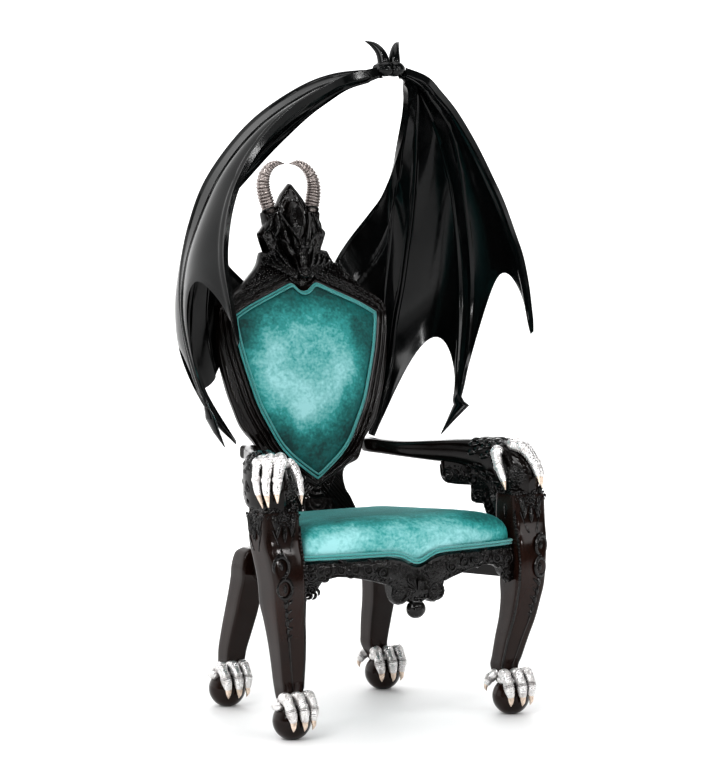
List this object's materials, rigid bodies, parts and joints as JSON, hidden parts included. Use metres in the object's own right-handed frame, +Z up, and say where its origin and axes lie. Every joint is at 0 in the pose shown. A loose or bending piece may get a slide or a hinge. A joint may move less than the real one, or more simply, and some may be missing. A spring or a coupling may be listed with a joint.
{
  "type": "throne",
  "caption": "Carved black lacquer throne with bat wings arched over the sitter, a horned dragon crest, teal velvet pads, clawed arm ends and ball-and-claw feet.",
  "frame": {"origin": "on the floor under the middle of the whole throne", "axes": "+Z up, the throne faces -Y, +X is the sitter's left"},
  "size_m": [0.9822, 0.7299, 1.8223],
  "materials": {
    "lacquer": "high-gloss black lacquer over carved wood",
    "velvet": "plush velvet upholstery",
    "silver": "silver leaf over carved wood"
  },
  "bodies": {
    "root": {"back_frame": "lacquer", "front_apron": "lacquer", "back_rail": "lacquer", "left_side_rail": "lacquer", "right_side_rail": "lacquer", "front_left_leg": "lacquer", "front_right_leg": "lacquer", "back_left_leg": "lacquer", "back_right_leg": "lacquer", "left_arm": "lacquer", "right_arm": "lacquer", "left_wing": "lacquer", "right_wing": "lacquer", "back_cushion": "velvet", "seat_cushion": "velvet", "left_horn": "silver", "right_horn": "silver"}
  },
  "joints": []
}
